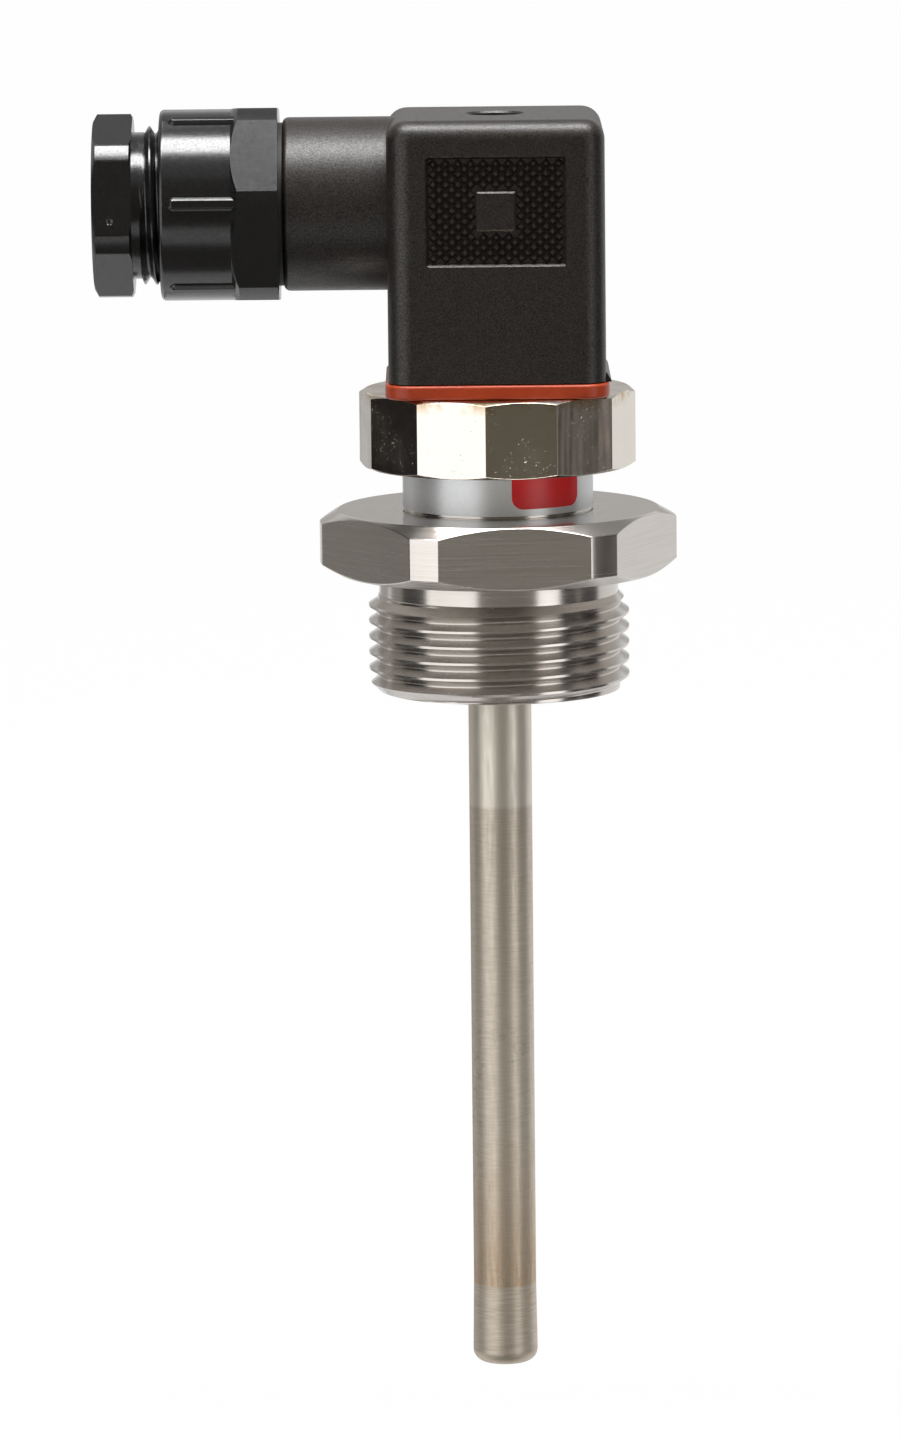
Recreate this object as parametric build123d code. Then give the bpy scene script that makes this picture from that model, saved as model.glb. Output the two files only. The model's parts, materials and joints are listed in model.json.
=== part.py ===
from build123d import *

import math
import os

# Plug-in resistance thermometer: a screwed stainless probe with a square cable plug on its head.
# Frame: Z runs up the probe, X to the right (the cable leaves towards -X) and Y away from the front.
# The origin is on the probe's axis, in the plane of the sealing face under the hexagon. Millimetres.

# Clearances
seat_gap = 0.05  # between pieces that are fitted together and stay put
running_gap = 0.05  # radial, round a piece that turns or slides in its hole
contact_gap = 0.1  # all round a blade in its slot
seal_gap = 0.1  # radial, round a rubber seal that isn't squeezed yet

# Probe tube, its welded tip and what lies inside
insertion_length = 102.5  # sealing face to the end of the tip
tube_diameter = 8.0
tube_wall = 1.0
tube_seat_step = 0.3  # turned off the end that sits in the fitting
tip_length = 10.4
tip_end_diameter = 8.3  # the welded tip widens a little towards its end
tip_edge_radius = 1.6
tip_floor = 3.0
tip_spigot_length = 3.0
element_diameter = 3.6
element_length = 25.0
element_chamfer = 0.3
insulator_wall_gap = 0.1
wire_diameter = 0.9
wire_bore_gap = 0.05
wire_circle_radius = 1.2
wire_bend_radius = 1.5
wire_fan_height = 2.0  # above the insulator, where the wires spread
wire_tail_drop = 0.5  # below the blade tails, where they turn up again
wire_solder_length = 2.5

# Process fitting: hexagon, metric fine thread and neck, turned from one bar
hex_across_flats = 41.0
hex_turned_diameter = 45.2
hex_height = 8.0
hex_chamfer_height = 1.35
hex_turn = 5.5  # degrees, how far it came round when it was screwed up
thread_diameter = 33.0
thread_pitch = 2.0
thread_depth = 1.2
thread_crest = 0.45
thread_root = 0.25
thread_length = 15.0
thread_lead_height = 1.2
undercut_diameter = 30.3
undercut_length = 2.9
neck_diameter = 23.8
neck_height = 5.5  # seen between the hexagon and the nut
neck_in_nut = 5.0
wiring_bore_gap = 0.6  # round the corners of the blades
wiring_bore_floor = 5.0  # above the sealing face
label_thickness = 0.15
label_margin = 0.3
label_gap_angle = 8.0  # degrees, the open seam at the back

# Twelve-sided union nut and the pin base that it holds
nut_sides = 12
nut_corner_diameter = 35.0
nut_height = 9.7
nut_chamfer_height = 0.6
nut_turn = -5.2  # degrees
nut_socket_diameter = 28.1
base_boss_length = 3.0
base_boss_gap = 0.2
o_ring_groove_width = 1.7
o_ring_groove_depth = 1.4
o_ring_squeeze_gap = 0.1
o_ring_edge_radius = 0.45
base_bush_diameter = 6.0
base_bush_floor = 1.0

# Flat blades of the pin base, set round the axis
blade_width = 6.3
blade_thickness = 0.8
blade_circle_radius = 9.0
blade_reach = 9.8  # above the nut
blade_tip_chamfer = 0.8
blade_tip_thickness = 0.27
blade_shoulder_depth = 1.0  # below the flange
tail_width = 2.8
tail_length = 3.5  # below the base
tail_hole_diameter = 1.4
blade_angles = {"blade_1": 180.0, "blade_2": 0.0, "blade_3": 90.0, "earth_blade": 270.0}
wired_blades = ("blade_1", "blade_2", "blade_3")

# Profile gasket between nut and plug
gasket_side = 28.0
gasket_thickness = 1.8
gasket_corner_radius = 3.4
gasket_edge_radius = 0.35
gasket_slot_width = 2.4
gasket_slot_margin = 0.6
gasket_hole_diameter = 7.0

# Moulded plug housing
housing_side = 27.2
housing_height = 32.9
housing_wall = 2.0
housing_top_wall = 2.9
housing_corner_radius = 3.0
housing_top_radius = 2.5
cavity_corner_radius = 1.5
foot_reach = 0.65
foot_height = 1.3
foot_edge = 0.2
well_diameter = 7.0
well_depth = 5.9
column_diameter = 9.2
screw_hole_diameter = 3.3
cable_axis_rise = 21.7  # above the bottom of the housing
cable_boss_diameter = 21.8
cable_boss_end = 26.65  # from the plug's axis
cable_boss_edge_radius = 0.8

# Grip panel on the front and the back of the housing
panel_width = 17.6
panel_height = 13.8
panel_depth = 0.6
panel_corner_radius = 0.7
panel_pad_side = 4.9
panel_draft = 22.0  # degrees, the slope of its walls
panel_margin = 0.1
stud_across = 1.56  # pitch along the panel
stud_rise = 1.3  # pitch up the panel, with each second row set between
stud_side = 0.86
stud_height = 0.45
stud_top = 0.2

# Contact carrier, spring contacts and terminal screws inside the plug
carrier_height = 13.8
carrier_corner_radius = 1.3
carrier_underside_gap = 0.3
column_gap = 0.2
contact_width = 7.2
contact_thickness = 3.0
contact_slot_headroom = 1.0
terminal_screw_diameter = 2.4
terminal_screw_length = 4.0
terminal_head_diameter = 4.2
terminal_head_height = 1.6
driver_slot_width = 0.7
driver_slot_depth = 0.8

# Central fixing screw
fixing_screw_diameter = 3.0
fixing_head_diameter = 5.8
fixing_head_height = 3.0
fixing_head_chamfer = 0.3
fixing_tip_chamfer = 0.38
fixing_screw_reach = 5.0  # below the top of the nut
screw_seal_thickness = 0.8

# Cable gland: body, seals, thrust washer and compression screw, along the cable's axis
gland_gap = 0.5  # filled by the O-ring between boss and hexagon
gland_o_ring_width = 2.2
gland_hex_across_flats = 24.0
gland_hex_turned_diameter = 26.1
gland_hex_length = 5.0
gland_hex_chamfer = 0.12
gland_turn = 5.4  # degrees, a corner and a rib of the gland body towards the front
gland_shoulder_length = 0.9
gland_barrel_diameter = 24.0
gland_barrel_length = 9.0
gland_barrel_edge_radius = 0.6
rib_count = 6
rib_width = 1.7
rib_height = 0.5
rib_length = 7.95
gland_spigot_diameter = 16.0
gland_spigot_length = 10.0
gland_cable_bore_diameter = 11.2
gland_thread_diameter = 20.0
gland_thread_pitch = 1.5
gland_thread_depth = 0.9
gland_thread_flat = 0.3
seal_seat_diameter = 17.2
seal_seat_depth = 4.1
seal_cone_depth = 1.5
seal_hole_diameter = 8.4
seal_recess = 0.3
washer_thickness = 1.0
washer_hole_diameter = 9.2
screw_back_off = 3.4  # from the gland body to the screw's head, as it was left
screw_thread_reach = 4.9  # into the gland body, as it was left
screw_neck_diameter = 18.4
screw_neck_length = 1.4
screw_head_across_flats = 21.2
screw_head_turned_diameter = 23.0
screw_head_length = 4.95
screw_head_chamfer = 0.5
screw_head_inner_chamfer = 0.25
screw_head_turn = 40.2  # degrees
screw_bore_diameter = 13.0
screw_mouth_chamfer = 0.8

# Levels along the probe
chamfer_slope = math.tan(math.radians(30.0))
tip_level = -insertion_length
tip_top = tip_level + tip_length
nut_level = hex_height + neck_height
neck_top = nut_level + neck_in_nut
nut_top = nut_level + nut_height
plug_level = nut_top + gasket_thickness
plug_top = plug_level + housing_height
cable_level = plug_level + cable_axis_rise
carrier_level = plug_level + carrier_underside_gap
carrier_top = carrier_level + carrier_height
well_floor = plug_top - well_depth
blade_top = nut_top + blade_reach
element_level = tip_level + tip_floor
element_top = element_level + element_length

# Radii that follow from the sizes above
tube_seat_radius = tube_diameter / 2 - tube_seat_step
blade_corner_radius = math.hypot(blade_circle_radius + blade_thickness / 2, blade_width / 2)
wiring_bore_radius = blade_corner_radius + wiring_bore_gap

# Distances along the cable's axis, outwards from the plug's own axis
cavity_half = housing_side / 2 - housing_wall
gland_start = cable_boss_end + gland_gap
gland_shoulder = gland_start + gland_hex_length
barrel_start = gland_shoulder + gland_shoulder_length
gland_end = barrel_start + gland_barrel_length
seat_start = barrel_start - seal_seat_depth
screw_inner_end = gland_end - screw_thread_reach
screw_head_start = gland_end + screw_back_off
screw_outer_end = screw_head_start + screw_head_length
cable_frame = Plane(origin=(0, 0, cable_level), x_dir=(0, -1, 0), z_dir=(-1, 0, 0))


def turned(points):
    """A solid turned about Z from an outline of (radius, height) points."""
    return revolve(Plane.XZ * make_face(Polyline(*points, close=True)), Axis.Z)


def bored(radius, low, high):
    """A round hole or rod along Z."""
    return Pos(0, 0, low) * extrude(Circle(radius), high - low)


def square_block(side, corner_radius, low, high):
    """An upright square block with rounded corners."""
    return Pos(0, 0, low) * extrude(RectangleRounded(side, side, corner_radius), high - low)


def chamfered_bar(radius, low, high, chamfer_low, chamfer_high):
    """A round bar whose ends are turned to 30 degree chamfers of the given heights."""
    return turned(
        [
            (0, low),
            (radius - chamfer_low / chamfer_slope, low),
            (radius, low + chamfer_low),
            (radius, high - chamfer_high),
            (radius - chamfer_high / chamfer_slope, high),
            (0, high),
        ]
    )


def hex_prism(across_flats, low, high, turn):
    """A hexagonal bar, with a corner at the given angle."""
    outline = RegularPolygon(across_flats / 2, 6, major_radius=False, rotation=turn)
    return Pos(0, 0, low) * extrude(outline, high - low)


def thread_rings(radius, pitch, depth, crest, root, low, high):
    """Outline points of as many whole thread grooves as fit between two heights."""
    count = int((high - low + 1e-6) // pitch)
    flank = (pitch - crest - root) / 2
    points = []
    for ring in range(count):
        start = low + ring * pitch + crest / 2
        points += [
            (radius, start),
            (radius - depth, start + flank),
            (radius - depth, start + flank + root),
            (radius, start + pitch - crest),
        ]
    return points


def slotted(solid, diameter, top):
    """The same screw with a driver slot across its head."""
    slot = Box(diameter + 1, driver_slot_width, driver_slot_depth * 2)
    return solid - Pos(0, 0, top) * slot


def process_fitting():
    """Hexagon, threaded shank and neck, bored for the tube and the wiring."""
    radius = hex_turned_diameter / 2
    hexagon = hex_prism(hex_across_flats, 0, hex_height, hex_turn) & chamfered_bar(
        radius, 0, hex_height, hex_chamfer_height, hex_chamfer_height
    )
    neck = bored(neck_diameter / 2, hex_height, neck_top)
    lead_radius = thread_diameter / 2 - thread_lead_height
    lead_top = -thread_length + thread_lead_height
    shank = turned(
        [(0, 0), (0, -thread_length), (lead_radius, -thread_length), (thread_diameter / 2, lead_top)]
        + thread_rings(
            thread_diameter / 2,
            thread_pitch,
            thread_depth,
            thread_crest,
            thread_root,
            lead_top,
            -undercut_length - thread_crest,
        )
        + [
            (thread_diameter / 2, -undercut_length - thread_crest / 2),
            (undercut_diameter / 2, -undercut_length + thread_crest / 2),
            (undercut_diameter / 2, 0),
        ]
    )
    tube_bore = bored(tube_seat_radius + seat_gap, -thread_length, wiring_bore_floor)
    wiring_bore = bored(wiring_bore_radius, wiring_bore_floor, neck_top)
    return hexagon + neck + shank - tube_bore - wiring_bore


def protection_tube():
    """Drawn tube, its upper end turned down to seat in the fitting, welded to the tip."""
    outside = bored(tube_diameter / 2, tip_top, -thread_length)
    outside += bored(tube_seat_radius, -thread_length, wiring_bore_floor)
    return outside - bored(tube_diameter / 2 - tube_wall, tip_top, wiring_bore_floor)


def tube_tip():
    """Closed end of the tube, with a spigot in the tube and a close bore for the element."""
    spigot_radius = tube_diameter / 2 - tube_wall - seat_gap
    spigot_top = tip_top + tip_spigot_length
    body = turned(
        [
            (0, tip_level),
            (tip_end_diameter / 2, tip_level),
            (tube_diameter / 2, tip_top),
            (spigot_radius, tip_top),
            (spigot_radius, spigot_top),
            (0, spigot_top),
        ]
    )
    rim = body.edges().filter_by(GeomType.CIRCLE).sort_by(Axis.Z)[0]
    body = fillet(rim, tip_edge_radius)
    return body - bored(element_diameter / 2 + seat_gap, element_level, spigot_top)


def sensing_element():
    """Ceramic wire-wound detector, standing in the tip's bore."""
    rod = bored(element_diameter / 2, element_level, element_top)
    return chamfer(rod.edges().filter_by(GeomType.CIRCLE), element_chamfer)


def wire_place(name):
    """Angle of the wire that runs to a blade."""
    return Rotation(0, 0, blade_angles[name])


def ceramic_insulator():
    """Ceramic rod with one bore for each wire, standing on the element."""
    radius = tube_diameter / 2 - tube_wall - insulator_wall_gap
    rod = bored(radius, element_top, wiring_bore_floor)
    for name in wired_blades:
        bore = bored(wire_diameter / 2 + wire_bore_gap, element_top, wiring_bore_floor)
        rod -= wire_place(name) * Pos(wire_circle_radius, 0, 0) * bore
    return rod


def lead_wire(name):
    """Wire from the element, through the insulator and out to the tail of its blade."""
    tail_end = neck_top - base_boss_length - tail_length
    solder_radius = blade_circle_radius - blade_thickness / 2 - wire_diameter / 2
    route = FilletPolyline(
        (wire_circle_radius, 0, element_top),
        (wire_circle_radius, 0, wiring_bore_floor + wire_fan_height),
        (solder_radius, 0, tail_end - wire_tail_drop),
        (solder_radius, 0, tail_end + wire_solder_length),
        radius=wire_bend_radius,
    )
    section = Plane(origin=route @ 0, z_dir=route % 0) * Circle(wire_diameter / 2)
    return wire_place(name) * sweep(section, path=route)


def label_band():
    """Foil label wrapped round the neck, with its seam at the back."""
    low = hex_height + label_margin
    high = nut_level - label_margin
    inner = neck_diameter / 2
    band = bored(inner + label_thickness, low, high) - bored(inner, low, high)
    seam_width = 2 * inner * math.sin(math.radians(label_gap_angle / 2))
    seam = Pos(0, inner, (low + high) / 2) * Box(seam_width, inner, high - low)
    return band - seam


def union_nut():
    """Twelve-sided nut on the neck, with a socket for the pin base."""
    outline = RegularPolygon(nut_corner_diameter / 2, nut_sides, rotation=nut_turn)
    bar = Pos(0, 0, nut_level) * extrude(outline, nut_height)
    body = bar & chamfered_bar(
        nut_corner_diameter / 2, nut_level, nut_top, nut_chamfer_height, nut_chamfer_height
    )
    body -= bored(neck_diameter / 2 + seat_gap, nut_level, neck_top)
    return body - bored(nut_socket_diameter / 2, neck_top, nut_top)


def blade_place(name):
    """Frame of a blade: X outwards, Y along its width."""
    return Rotation(0, 0, blade_angles[name]) * Pos(blade_circle_radius, 0, 0)


def upright_plate(thickness, width, low, high):
    """A plate across the X axis between two heights."""
    return Pos(0, 0, (low + high) / 2) * Box(thickness, width, high - low)


def connector_base():
    """Plastic pin base: flange in the nut, boss in the neck, slots for the blades."""
    flange = nut_socket_diameter / 2 - seat_gap
    boss = wiring_bore_radius - base_boss_gap
    boss_level = neck_top - base_boss_length
    groove_low = (neck_top + nut_top - o_ring_groove_width) / 2
    groove_high = groove_low + o_ring_groove_width
    body = turned(
        [
            (0, boss_level),
            (boss, boss_level),
            (boss, neck_top),
            (flange, neck_top),
            (flange, groove_low),
            (flange - o_ring_groove_depth, groove_low),
            (flange - o_ring_groove_depth, groove_high),
            (flange, groove_high),
            (flange, nut_top),
            (0, nut_top),
        ]
    )
    body -= bored(base_bush_diameter / 2, boss_level + base_bush_floor, nut_top)
    for name in blade_angles:
        wide = upright_plate(
            blade_thickness + 2 * seat_gap,
            blade_width + 2 * seat_gap,
            neck_top - blade_shoulder_depth,
            nut_top,
        )
        narrow = upright_plate(
            blade_thickness + 2 * seat_gap, tail_width + 2 * seat_gap, boss_level, nut_top
        )
        body -= blade_place(name) * (wide + narrow)
    return body


def base_o_ring():
    """O-ring in the groove of the pin base, squeezed against the nut."""
    outer = nut_socket_diameter / 2 - seat_gap / 2
    inner = nut_socket_diameter / 2 - seat_gap - o_ring_groove_depth
    height = o_ring_groove_width - 2 * o_ring_squeeze_gap
    middle = (neck_top + nut_top) / 2
    section = RectangleRounded(outer - inner, height, o_ring_edge_radius)
    section = Pos((outer + inner) / 2, middle) * section
    return revolve(Plane.XZ * section, Axis.Z)


def base_bush():
    """Brass bush for the fixing screw, pressed into the pin base."""
    low = neck_top - base_boss_length + base_bush_floor
    body = bored(base_bush_diameter / 2, low, nut_top)
    return body - bored(fixing_screw_diameter / 2 + running_gap, low, nut_top)


def tapered_plate(plane, width, tip_width, low, high, length):
    """A plate whose outline narrows over the tip chamfer, extruded both ways from a plane."""
    shoulder = high - blade_tip_chamfer
    outline = Polyline(
        (-width / 2, low),
        (width / 2, low),
        (width / 2, shoulder),
        (tip_width / 2, high),
        (-tip_width / 2, high),
        (-width / 2, shoulder),
        close=True,
    )
    return extrude(plane * make_face(outline), length / 2, both=True)


def blade(name):
    """Flat contact blade with a chamfered tip and a narrow tail with a solder hole."""
    shoulder = neck_top - blade_shoulder_depth
    tail_end = neck_top - base_boss_length - tail_length
    face = tapered_plate(
        Plane.YZ, blade_width, blade_width - 2 * blade_tip_chamfer, shoulder, blade_top, blade_thickness
    )
    edge = tapered_plate(
        Plane.XZ, blade_thickness, blade_tip_thickness, shoulder, blade_top, blade_width
    )
    body = (face & edge) + upright_plate(blade_thickness, tail_width, tail_end, shoulder)
    hole = Pos(0, 0, tail_end + tail_width / 2) * Rotation(0, 90, 0)
    body -= hole * Cylinder(tail_hole_diameter / 2, blade_thickness * 2)
    return blade_place(name) * body


def gasket():
    """Silicone gasket with a slot for each blade and a hole for the screw."""
    sheet = square_block(gasket_side, gasket_corner_radius, nut_top, plug_level)
    rims = [sheet.faces().sort_by(Axis.Z)[end].edges() for end in (0, -1)]
    sheet = fillet(rims[0] + rims[1], gasket_edge_radius)
    sheet -= bored(gasket_hole_diameter / 2, nut_top, plug_level)
    slot_length = blade_width + 2 * gasket_slot_margin
    for name in blade_angles:
        sheet -= blade_place(name) * upright_plate(gasket_slot_width, slot_length, nut_top, plug_level)
    return sheet


def panel_stud_places():
    """Centres of the small studs, staggered row by row, clear of the walls and the pad."""
    spread = panel_depth * math.tan(math.radians(panel_draft))
    stud_half = stud_side / math.sqrt(2)
    reach_x = panel_width / 2 - spread - panel_margin - stud_half
    reach_z = panel_height / 2 - spread - panel_margin - stud_half
    columns = int(reach_x // stud_across) + 1
    rows = int(reach_z // (stud_rise / 2))
    pad_half = panel_pad_side / 2 + spread + stud_half
    places = []
    for row in range(-rows, rows + 1):
        shift = 0.0 if row % 2 else stud_across / 2
        for column in range(-columns, columns + 1):
            x = column * stud_across + shift
            z = row * stud_rise / 2
            if abs(x) <= reach_x and (abs(x) > pad_half or abs(z) > pad_half):
                places.append((x, z))
    return places


def grip_panel():
    """What is cut from a flat side for the grip panel, and the studs that stand in it."""
    spread = 2 * panel_depth * math.tan(math.radians(panel_draft))
    floor = RectangleRounded(panel_width - spread, panel_height - spread, panel_corner_radius)
    pad = Rectangle(panel_pad_side + spread, panel_pad_side + spread)
    sunk = extrude(floor, panel_depth, taper=-panel_draft) - extrude(pad, panel_depth, taper=panel_draft)
    taper = math.degrees(math.atan((stud_side - stud_top) / 2 / stud_height))
    stud = extrude(Rectangle(stud_side, stud_side, rotation=45), stud_height, taper=taper)
    return sunk, [Pos(x, z, 0) * stud for x, z in panel_stud_places()]


def plug_housing():
    """Square moulded housing with its cable boss, screw column and grip panels."""
    half = housing_side / 2
    body = square_block(housing_side, housing_corner_radius, plug_level, plug_top)
    body = fillet(body.faces().sort_by(Axis.Z)[-1].edges(), housing_top_radius)
    foot_outline = Polyline(
        (half - foot_reach, plug_level),
        (half + foot_reach, plug_level),
        (half + foot_reach, plug_level + foot_edge),
        (half, plug_level + foot_height),
        (half - foot_reach, plug_level + foot_height),
        close=True,
    )
    foot_width = housing_side - 2 * housing_corner_radius
    body += Pos(0, foot_width / 2, 0) * extrude(Plane.XZ * make_face(foot_outline), foot_width)
    boss = bored(cable_boss_diameter / 2, half - housing_wall, cable_boss_end)
    boss = fillet(boss.edges().sort_by(Axis.Z)[-1], cable_boss_edge_radius)
    body += cable_frame * boss

    sunk, studs = grip_panel()
    sides = (
        Plane(origin=(0, panel_depth - half, cable_level), x_dir=(1, 0, 0), z_dir=(0, -1, 0)),
        Plane(origin=(0, half - panel_depth, cable_level), x_dir=(-1, 0, 0), z_dir=(0, 1, 0)),
    )
    for side in sides:
        body -= side * sunk
        body += [side * stud for stud in studs]

    body -= square_block(
        2 * cavity_half, cavity_corner_radius, plug_level, plug_top - housing_top_wall
    )
    body += bored(column_diameter / 2, carrier_top + column_gap, plug_top - housing_top_wall)
    body -= bored(well_diameter / 2, well_floor, plug_top)
    body -= bored(screw_hole_diameter / 2, carrier_top + column_gap, well_floor)
    body -= cable_frame * bored(
        gland_spigot_diameter / 2 + seat_gap, cavity_half - seat_gap, cable_boss_end
    )
    return body


def contact_carrier():
    """Insert with a pocket for each spring contact, held up inside the housing."""
    side = 2 * (cavity_half - contact_gap)
    body = square_block(side, carrier_corner_radius, carrier_level, carrier_top)
    body -= bored(screw_hole_diameter / 2, carrier_level, carrier_top)
    for name in blade_angles:
        pocket = upright_plate(
            contact_thickness + 2 * seat_gap,
            contact_width + 2 * seat_gap,
            carrier_level,
            carrier_top,
        )
        body -= blade_place(name) * pocket
    return body


def spring_contact(name):
    """Contact block that takes a blade from below and a terminal screw from above."""
    body = upright_plate(contact_thickness, contact_width, carrier_level, carrier_top)
    body -= upright_plate(
        blade_thickness + 2 * contact_gap,
        blade_width + 2 * contact_gap,
        carrier_level,
        blade_top + contact_slot_headroom,
    )
    screw_hole = bored(
        terminal_screw_diameter / 2 + seat_gap,
        carrier_top - terminal_screw_length - seat_gap,
        carrier_top,
    )
    return blade_place(name) * (body - screw_hole)


def terminal_screws():
    """The four slotted terminal screws, one on each contact."""
    head_top = carrier_top + terminal_head_height
    shank = bored(terminal_screw_diameter / 2, carrier_top - terminal_screw_length, carrier_top)
    head = bored(terminal_head_diameter / 2, carrier_top, head_top)
    screw = slotted(shank + head, terminal_head_diameter, head_top)
    return Compound(children=[blade_place(name) * screw for name in blade_angles])


def screw_seal():
    """Rubber washer under the head of the fixing screw."""
    top = well_floor + screw_seal_thickness
    disc = bored(well_diameter / 2 - seal_gap, well_floor, top)
    return disc - bored(fixing_screw_diameter / 2 + running_gap, well_floor, top)


def fixing_screw():
    """Long slotted screw that holds the plug down on the pin base."""
    head_level = well_floor + screw_seal_thickness + seat_gap
    head_top = head_level + fixing_head_height
    end = nut_top - fixing_screw_reach
    shank = bored(fixing_screw_diameter / 2, end, head_level)
    shank = chamfer(shank.edges().sort_by(Axis.Z)[0], fixing_tip_chamfer)
    head = bored(fixing_head_diameter / 2, head_level, head_top)
    head = chamfer(head.edges().sort_by(Axis.Z)[-1], fixing_head_chamfer)
    return slotted(shank + head, fixing_head_diameter, head_top)


def gland_body():
    """Gland body: spigot in the boss, hexagon, ribbed barrel and a stepped bore."""
    hexagon = hex_prism(gland_hex_across_flats, gland_start, barrel_start, gland_turn)
    hexagon &= turned(
        [
            (0, gland_start),
            (gland_hex_turned_diameter / 2 - gland_hex_chamfer, gland_start),
            (gland_hex_turned_diameter / 2, gland_start + gland_hex_chamfer),
            (gland_hex_turned_diameter / 2, gland_shoulder),
            (gland_barrel_diameter / 2, barrel_start),
            (0, barrel_start),
        ]
    )
    barrel = bored(gland_barrel_diameter / 2, gland_shoulder, gland_end)
    barrel = fillet(barrel.edges().sort_by(Axis.Z)[-1], gland_barrel_edge_radius)
    spigot = bored(gland_spigot_diameter / 2, gland_start - gland_spigot_length, gland_start)
    body = hexagon + barrel + spigot
    rib_side = rib_length - rib_width / 2
    for rib in range(rib_count):
        flat = Pos(0, rib_side / 2) * Rectangle(rib_width, rib_side)
        flat += Pos(0, rib_side) * Circle(rib_width / 2)
        blank = Plane(
            origin=(gland_barrel_diameter / 2 - rib_height, 0, gland_shoulder),
            x_dir=(0, 1, 0),
            z_dir=(1, 0, 0),
        ) * extrude(flat, 2 * rib_height)
        body += Rotation(0, 0, gland_turn + rib * 360 / rib_count) * blank
    cable = gland_cable_bore_diameter / 2
    hollow = turned(
        [
            (0, gland_start - gland_spigot_length),
            (cable, gland_start - gland_spigot_length),
            (cable, seat_start - seal_cone_depth),
            (seal_seat_diameter / 2, seat_start),
            (seal_seat_diameter / 2, barrel_start),
            (gland_thread_diameter / 2 + seat_gap, barrel_start),
            (gland_thread_diameter / 2 + seat_gap, gland_end),
            (0, gland_end),
        ]
    )
    return cable_frame * (body - hollow)


def gland_o_ring():
    """Rubber ring squeezed flat between the boss and the gland's hexagon."""
    inner = gland_spigot_diameter / 2 + seat_gap
    ring = bored(inner + gland_o_ring_width, cable_boss_end, gland_start)
    return cable_frame * (ring - bored(inner, cable_boss_end, gland_start))


def cable_seal():
    """Rubber sealing ring on its cone, with nothing in it yet."""
    outer = seal_seat_diameter / 2 - seal_gap
    hole = seal_hole_diameter / 2
    top = barrel_start - seal_recess
    nose = seat_start - seal_cone_depth + seal_recess
    nose_radius = gland_cable_bore_diameter / 2
    return cable_frame * turned(
        [(hole, nose), (nose_radius, nose), (outer, seat_start + seal_recess), (outer, top), (hole, top)]
    )


def thrust_washer():
    """Slip washer that the compression screw pushes ahead of itself."""
    high = screw_inner_end - seat_gap
    low = high - washer_thickness
    disc = bored(gland_thread_diameter / 2 - gland_thread_depth / 2, low, high)
    return cable_frame * (disc - bored(washer_hole_diameter / 2, low, high))


def compression_screw():
    """Hollow hexagon screw of the gland, screwed part of the way in."""
    radius = gland_thread_diameter / 2 - running_gap
    thread_start = screw_inner_end + gland_thread_flat
    thread_end = screw_head_start - screw_neck_length
    neck = screw_neck_diameter / 2
    shank = turned(
        [(0, screw_inner_end), (radius - gland_thread_depth, screw_inner_end)]
        + thread_rings(
            radius,
            gland_thread_pitch,
            gland_thread_depth,
            gland_thread_flat,
            gland_thread_flat,
            thread_start,
            thread_end,
        )
        + [(neck, thread_end), (neck, screw_head_start), (0, screw_head_start)]
    )
    head = hex_prism(screw_head_across_flats, screw_head_start, screw_outer_end, screw_head_turn)
    head &= chamfered_bar(
        screw_head_turned_diameter / 2,
        screw_head_start,
        screw_outer_end,
        screw_head_inner_chamfer,
        screw_head_chamfer,
    )
    body = shank + head - bored(screw_bore_diameter / 2, screw_inner_end, screw_outer_end)
    mouth = body.faces().sort_by(Axis.Z)[-1].edges().filter_by(GeomType.CIRCLE).sort_by(SortBy.RADIUS)
    return cable_frame * chamfer(mouth[0], screw_mouth_chamfer)


def build_nodes():
    """Every piece by its node name."""
    nodes = {
        "process_fitting": process_fitting(),
        "protection_tube": protection_tube(),
        "tube_tip": tube_tip(),
        "sensing_element": sensing_element(),
        "ceramic_insulator": ceramic_insulator(),
        "label_band": label_band(),
        "union_nut": union_nut(),
        "connector_base": connector_base(),
        "base_o_ring": base_o_ring(),
        "base_bush": base_bush(),
        "gasket": gasket(),
        "plug_housing": plug_housing(),
        "contact_carrier": contact_carrier(),
        "terminal_screws": terminal_screws(),
        "screw_seal": screw_seal(),
        "fixing_screw": fixing_screw(),
        "gland_body": gland_body(),
        "gland_o_ring": gland_o_ring(),
        "cable_seal": cable_seal(),
        "thrust_washer": thrust_washer(),
        "compression_screw": compression_screw(),
    }
    for name in blade_angles:
        nodes[name] = blade(name)
        nodes[name.replace("blade", "contact")] = spring_contact(name)
    for number, name in enumerate(wired_blades, start=1):
        nodes[f"lead_wire_{number}"] = lead_wire(name)
    return nodes


os.makedirs("parts", exist_ok=True)
for node_name, node in build_nodes().items():
    export_step(node, f"parts/{node_name}.step")
    print(node_name, "volume", round(node.volume, 1))
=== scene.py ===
# Plug-in resistance thermometer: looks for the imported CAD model. Metres, with sizes given in millimetres.
import json
import math

import bmesh
import bpy
from mathutils import Matrix, Vector


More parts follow.
